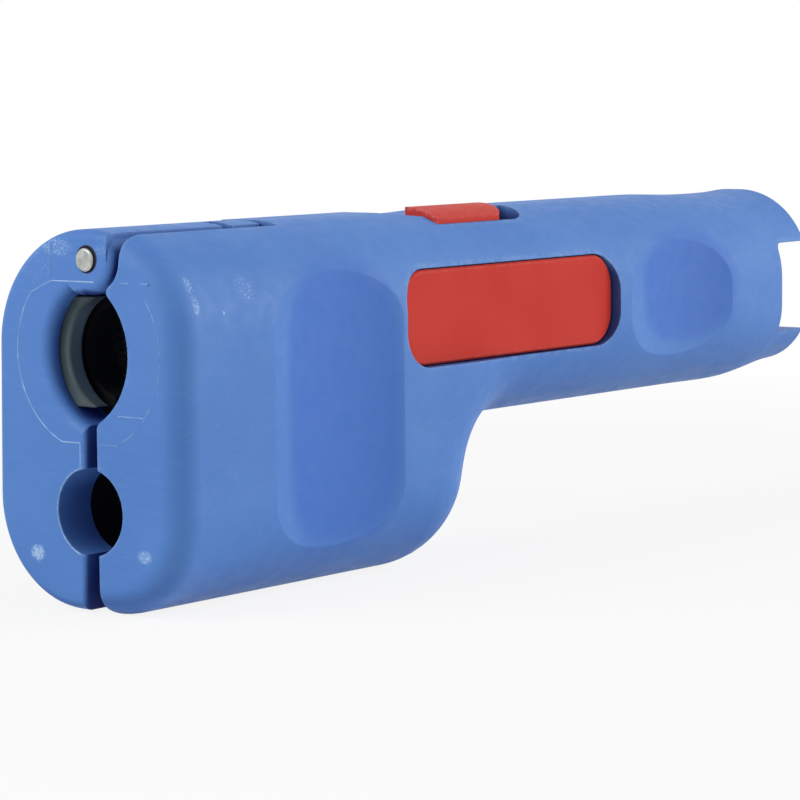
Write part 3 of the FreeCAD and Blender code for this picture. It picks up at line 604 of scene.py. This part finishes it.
class STRIPPER_OT_blue_moulding(Operator):
    """Give the body and the jaw their matt blue with clouding, rubbed edges partly painted as highlight,
    scuffs, and painted shade in slits, ports, hollows, under the knuckle and round the pin
    """
    bl_idname = "stripper.blue_moulding"
    bl_label = "Blue moulding"

    def execute(self, context):
        made = context.scene.stripper.moulding
        material, tree, shader = new_material("blue_moulding")
        grain = use_group(tree, "moulded_grain", Grain_Scale=2600.0, Cloud_Scale=90.0)
        wear_and_highlight = use_group(tree, "edge_wear_and_highlight", Radius=made.edge, Breaks=1400.0)
        # Painted shade where walls hem the surface in
        painted_shade = use_group(tree, "cavity_shade", Reach=made.shade_reach)["Mask"]
        drag_share = 0.7
        pale = maths(tree, "MULTIPLY_ADD", grain["Drag"], drag_share, grain["Cloud"])
        base = tinted(tree, colour(made.blue), made.blue_mottle, pale, made.mottle)
        # Painted shade over the finger hollows
        for hollow in self.hollows():
            base = tinted(tree, base, made.hollow_shade_blue, use_group(tree, "patch", **hollow)["Mask"])
        # Pale edges: partly wear, partly painted highlight along rounded edges
        base = tinted(tree, base, made.worn_and_highlight_blue, wear_and_highlight["Wear"], made.edge_wear_and_highlight)
        for rubbed in self.scuffs():
            scratches = use_group(tree, "scuff", **rubbed)["Mask"]
            base = tinted(tree, base, made.worn_and_highlight_blue, scratches, made.scuffing)
        for bruised in self.pale_spots():
            spot = use_group(tree, "patch", **bruised)["Mask"]
            base = tinted(tree, base, made.worn_and_highlight_blue, spot, made.bruising)
        # Painted shade under the lip of the jaw's knuckle, laid with the same dark blue as the cavities
        shade = use_group(tree, "patch", **self.knuckle_lip_shade())["Mask"]
        base = tinted(tree, base, made.painted_shade_blue, maths(tree, "MAXIMUM", painted_shade, shade))
        # Painted shade in the gap between the pin and its hole
        base = tinted(tree, base, made.gap, use_group(tree, "patch", **self.pin_gap_shade())["Mask"])
        feed_shader(tree, shader, base, grain["Gloss"], low=made.roughness, rise=0.12)
        shader.inputs["Specular IOR Level"].default_value = made.specular
        bump(tree, shader, grain["Height"], made.grain, wear_and_highlight["Normal"])
        dress(material, "main_body", "hinged_jaw")
        return {"FINISHED"}

    def hollows(self):
        """The finger hollows in the sides of the head and of the handle, right through both sides, where
        painted shade deepens the blue.
        """
        head = (FRONT_X + 22.2 * MM, PIN.y, 16.7 * MM)
        handle = (FRONT_X + 77.7 * MM, PIN.y, 23.9 * MM)
        return [
            patch(head, half_size=(7.5, 30.0, 12.4), power=3.5, fade=0.45),
            patch(handle, half_size=(8.0, 30.0, 5.6), power=2.5, fade=0.4),
        ]

    def gates(self):
        """Places of the two gate marks low on the front face, the jaw's first."""
        return (
            (FRONT_X, PIN.y + 6.3 * MM, LOWER_PORT.z - 3.9 * MM),
            (FRONT_X, PIN.y - 6.2 * MM, LOWER_PORT.z - 3.3 * MM),
        )

    def pale_spots(self):
        """Bruised plastic at the gate marks, and a chip on the head's near side, palest in its middle."""
        jaw_gate, body_gate = self.gates()
        chip = (FRONT_X + 5.85 * MM, NEAR_Y, UPPER_PORT.z + 3.5 * MM)
        return [
            patch(jaw_gate, half_size=(1.0, 0.75, 0.6), fade=0.8),
            patch(body_gate, half_size=(1.0, 0.75, 0.5), fade=0.8),
            patch(chip, half_size=(0.14, 1.0, 0.2)),
            patch(chip, half_size=(0.12, 1.0, 0.17)),
        ]

    def knuckle_lip_shade(self):
        """Painted shade on the lower lip of the jaw's knuckle, where it overhangs the upper port."""
        lip = (FRONT_X, PIN.y + 0.2 * MM, PIN.z - 3.3 * MM)
        return patch(lip, half_size=(4.0, 2.2, 0.75), fade=0.6)

    def pin_gap_shade(self):
        """Painted shade of the thin gap between the pin and its hole, a little wider on one side."""
        low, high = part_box("hinge_pin")
        play = 0.2
        reach = (high.y - low.y) / 2 / MM + play
        hole = (FRONT_X, PIN.y - 0.12 * MM, PIN.z + 0.06 * MM)
        return patch(hole, half_size=(1.0, reach, reach), fade=0.1)

    def scuffs(self):
        """Gate marks low on the front face, rubbing round the pin and on the near side's front edge."""
        jaw_gate, body_gate = self.gates()
        pin_top = (FRONT_X, PIN.y + 3.4 * MM, PIN.z + 1.0 * MM)
        pin_side = (FRONT_X, PIN.y - 1.8 * MM, PIN.z + 0.9 * MM)
        shoulder = (FRONT_X, PIN.y + 5.6 * MM, PIN.z - 0.6 * MM)
        front_edge = (FRONT_X + 2.5 * MM, NEAR_Y + 1.3 * MM, UPPER_PORT.z + 6.0 * MM)
        edge_foot = (FRONT_X + 2.6 * MM, NEAR_Y + 0.5 * MM, UPPER_PORT.z + 4.3 * MM)
        near_side = (FRONT_X + 9.3 * MM, NEAR_Y + 1.0 * MM, UPPER_PORT.z + 5.4 * MM)
        return [
            scuff(jaw_gate, stretch=(1.0, 1.1, 1.0), size=1.15, cover=0.8, specks=COARSE_SPECKS),
            scuff(body_gate, stretch=(1.0, 1.2, 0.8), size=1.15, cover=0.6, specks=COARSE_SPECKS),
            scuff(pin_top, stretch=(1.0, 1.6, 0.7), size=2.1, cover=0.6, specks=FINE_SPECKS),
            scuff(pin_side, stretch=(1.0, 1.0, 0.7), size=1.4, cover=0.5, specks=FINE_SPECKS),
            scuff(shoulder, stretch=(1.0, 1.2, 1.0), size=3.8, cover=0.4, specks=FINE_SPECKS),
            scuff(front_edge, stretch=(0.7, 2.5, 1.5), size=1.1, cover=0.6, specks=FINE_SPECKS),
            scuff(edge_foot, stretch=(0.7, 2.5, 1.5), size=1.1, cover=0.65, specks=FINE_SPECKS),
            scuff(near_side, stretch=(1.0, 1.0, 1.0), size=2.6, cover=0.45, specks=FINE_SPECKS),
        ]


class STRIPPER_OT_red_pieces(Operator):
    """Give the label plate and the thumb slide their satin red"""
    bl_idname = "stripper.red_pieces"
    bl_label = "Red pieces"

    def execute(self, context):
        made = context.scene.stripper.red
        material, tree, shader = new_material("red_moulding")
        grain = use_group(tree, "moulded_grain", Grain_Scale=3400.0, Cloud_Scale=110.0)
        wear_and_highlight = use_group(tree, "edge_wear_and_highlight", Radius=0.2 * MM, Breaks=1800.0)
        base = tinted(tree, colour(made.red), made.red_mottle, grain["Cloud"])
        base = tinted(tree, base, made.worn_red, wear_and_highlight["Wear"], strength=0.5)
        feed_shader(tree, shader, base, grain["Gloss"], low=made.roughness, rise=0.1)
        shader.inputs["Specular IOR Level"].default_value = made.specular
        bump(tree, shader, grain["Height"], depth=0.006 * MM, normal=wear_and_highlight["Normal"])
        dress(material, "label_plate", "stop_slide")
        return {"FINISHED"}


def dusting(tree, grain, wear_and_highlight, clouds, edges):
    """Mask of dust that lies in clouds and along the edges, each as thick as its share."""
    on_edges = maths(tree, "MULTIPLY", wear_and_highlight["Wear"], edges)
    return maths(tree, "MULTIPLY_ADD", grain["Cloud"], clouds, on_edges)


class STRIPPER_OT_carrier(Operator):
    """Give the blade carrier, its cover and the cable stop a dull near black that also paints the shade
    deep inside the ports
    """
    bl_idname = "stripper.carrier"
    bl_label = "Blade carrier"

    def execute(self, context):
        made = context.scene.stripper.carrier
        material, tree, shader = new_material("carrier_moulding")
        grain = use_group(tree, "moulded_grain", Grain_Scale=2200.0, Cloud_Scale=160.0)
        wear_and_highlight = use_group(tree, "edge_wear_and_highlight", Radius=0.15 * MM, Breaks=2000.0)
        dust = dusting(tree, grain, wear_and_highlight, clouds=0.2, edges=0.5)
        base = tinted(tree, colour(made.shaded_black), made.dust, dust)
        feed_shader(tree, shader, base, grain["Gloss"], low=made.roughness, rise=0.1)
        shader.inputs["Specular IOR Level"].default_value = 0.0
        bump(tree, shader, grain["Height"], depth=0.01 * MM, normal=wear_and_highlight["Normal"])
        dress(material, "blade_carrier", "carrier_cover", "cable_stop")
        return {"FINISHED"}


class STRIPPER_OT_pad(Operator):
    """Give the cable pad its slate grey with dusty edges and a paler face, painted light, on the side that
    faces -y
    """
    bl_idname = "stripper.pad"
    bl_label = "Cable pad"

    def execute(self, context):
        made = context.scene.stripper.pad
        material, tree, shader = new_material("pad_rubber")
        grain = use_group(tree, "moulded_grain", Grain_Scale=2400.0, Cloud_Scale=300.0)
        wear_and_highlight = use_group(tree, "edge_wear_and_highlight", Radius=0.3 * MM, Breaks=900.0)
        dust = dusting(tree, grain, wear_and_highlight, clouds=0.25, edges=0.6)
        base = tinted(tree, colour(made.slate), made.slate_dust, dust)
        # Painted light on the pad's faces that turn towards -y
        facing = add_node(tree, "ShaderNodeTexCoord").outputs["Normal"]
        to_cable = (0.0, -1.0, 0.0)
        inward = vector_maths(tree, "DOT_PRODUCT", facing, to_cable, output="Value")
        base = tinted(tree, base, made.painted_light_slate, step_up(tree, inward, low=0.45, high=0.85))
        feed_shader(tree, shader, base, grain["Gloss"], low=made.roughness, rise=0.15)
        shader.inputs["Specular IOR Level"].default_value = made.specular
        bump(tree, shader, grain["Height"], depth=0.02 * MM, normal=wear_and_highlight["Normal"])
        dress(material, "cable_pad")
        return {"FINISHED"}


class STRIPPER_OT_steel(Operator):
    """Give the pin, the screws and the blades their steel"""
    bl_idname = "stripper.steel"
    bl_label = "Pin, screws and blades"

    def execute(self, context):
        made = context.scene.stripper.steel
        pin = self.steel("pin_steel", made.pin, made.tarnish, streak=(1.0, 1.0, 1.0), low=0.2)
        dress(pin, "hinge_pin", "carrier_screws")
        blade = self.steel("blade_steel", made.blade, made.tarnish, streak=(1.0, 12.0, 1.0), low=0.14)
        dress(blade, "upper_jacket_blade", "upper_core_blade", "lower_jacket_blade", "lower_core_blade")
        return {"FINISHED"}

    def steel(self, name, tint, tarnish, streak, low):
        """Ground steel with blotches of tarnish and streaks along one way; low is its least roughness."""
        material, tree, shader = new_material(name)
        place = object_place(tree)
        streaked = vector_maths(tree, "MULTIPLY", place, streak)
        scratches = noise(tree, streaked, scale=2600.0, detail=3.0, rough=0.6)
        blotches = step_up(tree, noise(tree, place, scale=1300.0, rough=0.6), low=0.4, high=0.7)
        wear_and_highlight = use_group(tree, "edge_wear_and_highlight", Radius=0.08 * MM, Breaks=2500.0)
        base = tinted(tree, colour(tint), [value * tarnish for value in tint], blotches, strength=0.6)
        feed_shader(tree, shader, base, scratches, low=low, rise=0.25)
        shader.inputs["Metallic"].default_value = 1.0
        bump(tree, shader, scratches, depth=0.01 * MM, normal=wear_and_highlight["Normal"])
        return material


class STRIPPER_OT_spring(Operator):
    """Wind the torsion spring round the hinge pin, between the body and the jaw"""
    bl_idname = "stripper.spring"
    bl_label = "Jaw spring"

    def execute(self, context):
        made = context.scene.stripper.spring
        length = made.pitch * made.turns
        center_x = middle("jaw_spring").x
        rear = Vector((center_x + length / 2, PIN.y, PIN.z))
        front = Vector((center_x - length / 2, PIN.y, PIN.z))
        mesh = wire_mesh(self.winding(made, rear, front), made.wire / 2)
        spring = add_piece("torsion_spring", mesh, None)
        spring.data.materials.append(self.wire_steel(context.scene.stripper.steel))
        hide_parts("jaw_spring")
        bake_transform(spring)
        return {"FINISHED"}

    def winding(self, made, rear, front):
        """Points of the wire from the body's leg, round the coil, to the end of the jaw's leg."""
        slope = made.pitch / (2 * math.pi * made.coil)
        along = Vector((-slope, 1.0, 0.0)).normalized()
        top = Vector((0.0, 0.0, made.coil))
        steps = TURN_STEPS * made.turns
        points = [rear + top - along * made.body_leg]
        for step in range(steps + 1):
            turn = 2 * math.pi * made.turns * step / steps
            around = Vector((0.0, math.sin(turn), math.cos(turn))) * made.coil
            points.append(rear.lerp(front, step / steps) + around)
        points.append(front + top + along * made.jaw_leg)
        return points

    def wire_steel(self, made):
        material, tree, shader = new_material("spring_wire")
        grain = use_group(tree, "moulded_grain", Grain_Scale=5000.0, Cloud_Scale=900.0)
        darker = [value * made.wire_tarnish for value in made.wire]
        base = tinted(tree, colour(made.wire), darker, grain["Cloud"])
        feed_shader(tree, shader, base, grain["Gloss"], low=0.28, rise=0.15)
        shader.inputs["Metallic"].default_value = 1.0
        bump(tree, shader, grain["Height"], depth=0.004 * MM)
        return material


def wire_mesh(points, radius):
    """Round wire along points, as a mesh with closed ends."""
    line = bpy.data.curves.new("wire", "CURVE")
    line.dimensions = "3D"
    line.bevel_depth = radius
    line.bevel_resolution = WIRE_RESOLUTION
    line.use_fill_caps = True
    spline = line.splines.new("POLY")
    spline.points.add(len(points) - 1)
    for place, point in zip(spline.points, points):
        place.co = (*point, 1.0)
    holder = bpy.data.objects.new("wire", line)
    mesh = bpy.data.meshes.new_from_object(holder)
    bpy.data.objects.remove(holder)
    bpy.data.curves.remove(line)
    mesh.polygons.foreach_set("use_smooth", [True] * len(mesh.polygons))
    return mesh


class STRIPPER_OT_witness_lines(Operator):
    """Draw the fine raised lines that the mould's inserts leave on the front face, and a pale line laid as
    a painted highlight on the lower port's rim
    """
    bl_idname = "stripper.witness_lines"
    bl_label = "Witness lines"

    def execute(self, context):
        marks = context.scene.stripper.marks
        moulding = context.scene.stripper.moulding
        for name, body, paths, blending in (
                ("jaw_ring_and_rim_highlight", "jaw", self.jaw_ring_and_rim_highlight(marks), 0.0),
                ("jaw_upright", "jaw", self.jaw_upright(marks), 0.6),
                ("body_ring", "body", self.body_ring(marks), 0.45)):
            mesh = ridge_mesh(paths, marks.width, marks.height)
            mesh.materials.append(self.flash(name + "_flash", moulding, blending))
            add_piece(name + "_lines", mesh, body)
        return {"FINISHED"}

    def flash(self, name, made, blending):
        """Pale flash that fades into the blue here and there, by at least the share that it is given; on
        the jaw it also colours the painted highlight round the lower port.
        """
        material, tree, shader = new_material(name)
        grain = use_group(tree, "moulded_grain", Grain_Scale=4000.0, Cloud_Scale=700.0)
        patchiness = 0.4
        share = maths(tree, "MULTIPLY_ADD", grain["Cloud"], patchiness, blending)
        base = tinted(tree, colour(made.worn_and_highlight_blue), made.blue_mottle, share)
        feed_shader(tree, shader, base, grain["Gloss"], low=0.45, rise=0.1)
        bump(tree, shader, grain["Height"], depth=0.01 * MM)
        return material

    def round_path(self, radius, z, start, end):
        """Points of an arc in the front face; 0 degrees is the jaw's side and 90 is up."""
        count = max(2, round(abs(end - start) / ARC_STEP))
        angles = [math.radians(start + (end - start) * step / count) for step in range(count + 1)]
        return [(radius * math.cos(a), z + radius * math.sin(a)) for a in angles]

    def foot_turn(self, marks):
        """Degrees below the port's axis at which the ring meets its flat foot."""
        return math.degrees(math.asin(marks.foot / marks.ring))

    def jaw_ring_and_rim_highlight(self, marks):
        """The jaw's share of the ring with its top line, and a painted highlight along the rim of the lower
        port.
        """
        top_end = -0.9 * MM
        ring = self.round_path(marks.ring, 0.0, start=-self.foot_turn(marks), end=38.0)
        # The lower port's rim: a pale line that paints the highlight on its rounded edge
        rim_highlight = self.round_path(marks.rim_highlight, LOWER_PORT.z - UPPER_PORT.z, start=74.0, end=-72.0)
        inner = rim_highlight[0][0]
        return [
            [(inner, -marks.foot)] + ring + [(marks.side, marks.top), (top_end, marks.top)],
            [(inner, -marks.foot)] + rim_highlight,
        ]

    def jaw_upright(self, marks):
        """The line beside the pin, which leans a little towards it."""
        past_pin = 1.4 * MM
        lean = 0.1 * MM
        upper_end = PIN.z - UPPER_PORT.z + past_pin
        return [[(marks.side, marks.top), (marks.side - lean, upper_end)]]

    def body_ring(self, marks):
        """The body's share of the ring, two dashes in line with its top and a short line above its foot."""
        foot_end = -1.3 * MM
        inner_dash = (-3.9 * MM, -4.9 * MM)
        outer_dash = (-6.2 * MM, -7.1 * MM)
        cross_line = (-3.4 * MM, -6.3 * MM)
        ring = self.round_path(marks.ring, 0.0, start=145.0, end=180.0 + self.foot_turn(marks))
        return [
            ring + [(foot_end, -marks.foot)],
            [(y, marks.top) for y in inner_dash],
            [(y, marks.top) for y in outer_dash],
            [(y, -marks.cross) for y in cross_line],
        ]


def unevenness(index):
    """Width of a line at one of its points as a share of the whole: two waves that never fall in step."""
    return 1.0 + 0.3 * math.sin(2.7 * index) + 0.2 * math.sin(1.1 * index + 0.8)


def ridge_mesh(paths, width, height):
    """Low ridges on the front face, a little uneven as flash is; paths lie about the upper port."""
    made = bmesh.new()
    for path in paths:
        rows = []
        line = [Vector((UPPER_PORT.y + y, UPPER_PORT.z + z)) for y, z in path]
        for index, point in enumerate(line):
            ahead = line[min(index + 1, len(line) - 1)] - line[max(index - 1, 0)]
            across = Vector((-ahead.y, ahead.x)).normalized()
            side = across * width * unevenness(index) / 2
            sunk = FRONT_X + height / 2
            proud = FRONT_X - height * unevenness(index)
            rows.append([
                made.verts.new((sunk, point.x + side.x, point.y + side.y)),
                made.verts.new((sunk, point.x - side.x, point.y - side.y)),
                made.verts.new((proud, point.x, point.y)),
            ])
        for first, second in zip(rows, rows[1:]):
            for corner in range(len(first)):
                after = (corner + 1) % len(first)
                made.faces.new((first[corner], first[after], second[after], second[corner]))
        made.faces.new(rows[0][::-1])
        made.faces.new(rows[-1])
    bmesh.ops.recalc_face_normals(made, faces=made.faces)
    mesh = bpy.data.meshes.new("witness_lines")
    made.to_mesh(mesh)
    made.free()
    return mesh


class STRIPPER_OT_stage(Operator):
    """Set the pale floor, the soft studio light and the camera"""
    bl_idname = "stripper.stage"
    bl_label = "Stage"

    def execute(self, context):
        made = context.scene.stripper.stage
        context.scene.view_settings.view_transform = "Standard"
        self.world(context.scene, made.ambient)
        self.floor(made)
        target = Vector((0.0, 0.0, UPPER_PORT.z))
        for name, place, size, power in SOFTBOXES:
            self.softbox(name, Vector(place), target, size, power)
        self.camera(context.scene, made)
        return {"FINISHED"}

    def seen(self, tree):
        """1 for rays that show the background in the picture, in metal or through glass."""
        path = tree.nodes.new("ShaderNodeLightPath").outputs
        shown = maths(tree, "MAXIMUM", path["Is Camera Ray"], path["Is Glossy Ray"])
        return maths(tree, "MAXIMUM", shown, path["Is Transmission Ray"])

    def mixed(self, tree, share, first, second):
        """One shader that turns from the first into the second as the share grows."""
        inputs = {0: share, 1: first.outputs[0], 2: second.outputs[0]}
        return add_node(tree, "ShaderNodeMixShader", inputs).outputs[0]

    def world(self, scene, ambient):
        world = bpy.data.worlds.new("studio")
        world.use_nodes = True
        tree = world.node_tree
        tree.nodes.clear()
        light = add_node(tree, "ShaderNodeBackground", {"Color": WHITE, "Strength": ambient})
        white = add_node(tree, "ShaderNodeBackground", {"Color": WHITE, "Strength": 1.0})
        both = self.mixed(tree, self.seen(tree), light, white)
        add_node(tree, "ShaderNodeOutputWorld", {"Surface": both})
        scene.world = world

    def floor(self, made):
        """Matt floor under the tool, washed with white in the picture so that only its shadow stays."""
        bpy.ops.mesh.primitive_plane_add(size=made.floor_side, location=(0.0, 0.0, CAD_BOX[0][2]))
        floor = bpy.context.object
        floor.name = "floor"
        material = bpy.data.materials.new("pale_floor")
        material.use_nodes = True
        tree = material.node_tree
        tree.nodes.clear()
        matt = add_node(tree, "ShaderNodeBsdfDiffuse", {"Color": colour(made.floor)})
        white = add_node(tree, "ShaderNodeEmission", {"Color": WHITE, "Strength": 1.0})
        away = vector_maths(tree, "LENGTH", object_place(tree), output="Value")
        far = step_up(tree, away, made.fade_start, made.fade_end)
        washed = maths(tree, "MULTIPLY_ADD", far, 1.0 - made.floor_white, made.floor_white)
        both = self.mixed(tree, maths(tree, "MULTIPLY", self.seen(tree), washed), matt, white)
        add_node(tree, "ShaderNodeOutputMaterial", {"Surface": both})
        floor.data.materials.append(material)

    def softbox(self, name, place, target, size, power):
        lamp = bpy.data.lights.new(name, "AREA")
        lamp.shape = "SQUARE"
        lamp.size = size
        lamp.energy = power
        holder = bpy.data.objects.new(name, lamp)
        holder.location = place
        holder.rotation_euler = (target - place).to_track_quat("-Z", "Y").to_euler()
        bpy.context.scene.collection.objects.link(holder)

    def camera(self, scene, made):
        data = bpy.data.cameras.new("camera")
        data.lens = made.lens
        data.sensor_width = made.sensor
        data.clip_start = made.nearest
        camera = bpy.data.objects.new("camera", data)
        camera.location = Vector((FRONT_X, UPPER_PORT.y, 0.0)) + Vector(made.eye)
        camera.rotation_mode = "QUATERNION"
        turn = Quaternion(UP, made.roll)
        camera.rotation_quaternion = Vector(made.aim).to_track_quat("-Z", "Y") @ turn
        scene.collection.objects.link(camera)
        scene.camera = camera


class STRIPPER_PT_panel(Panel):
    """Lists the stripper's pieces and its studio"""
    bl_idname = "STRIPPER_PT_panel"
    bl_label = "Cable stripper"
    bl_space_type = "VIEW_3D"
    bl_region_type = "UI"
    bl_category = "Stripper"

    def draw(self, context):
        for operator in OPERATORS:
            self.layout.operator(operator.bl_idname)


SETTINGS = (
    MouldingSettings, RedSettings, CarrierSettings, PadSettings, SteelSettings, SpringSettings,
    MarkSettings, StageSettings, StripperSettings,
)
OPERATORS = (
    STRIPPER_OT_finishes, STRIPPER_OT_blue_moulding, STRIPPER_OT_red_pieces, STRIPPER_OT_carrier,
    STRIPPER_OT_pad, STRIPPER_OT_steel, STRIPPER_OT_spring, STRIPPER_OT_witness_lines, STRIPPER_OT_stage,
)


def register():
    for kind in SETTINGS + OPERATORS + (STRIPPER_PT_panel,):
        bpy.utils.register_class(kind)
    bpy.types.Scene.stripper = PointerProperty(type=StripperSettings)


def unregister():
    del bpy.types.Scene.stripper
    for kind in reversed(SETTINGS + OPERATORS + (STRIPPER_PT_panel,)):
        bpy.utils.unregister_class(kind)


def main():
    register()
    bpy.ops.stripper.finishes()
    bpy.ops.stripper.blue_moulding()
    bpy.ops.stripper.red_pieces()
    bpy.ops.stripper.carrier()
    bpy.ops.stripper.pad()
    bpy.ops.stripper.steel()
    bpy.ops.stripper.spring()
    bpy.ops.stripper.witness_lines()
    bpy.ops.stripper.stage()


if __name__ == "__main__":
    main()
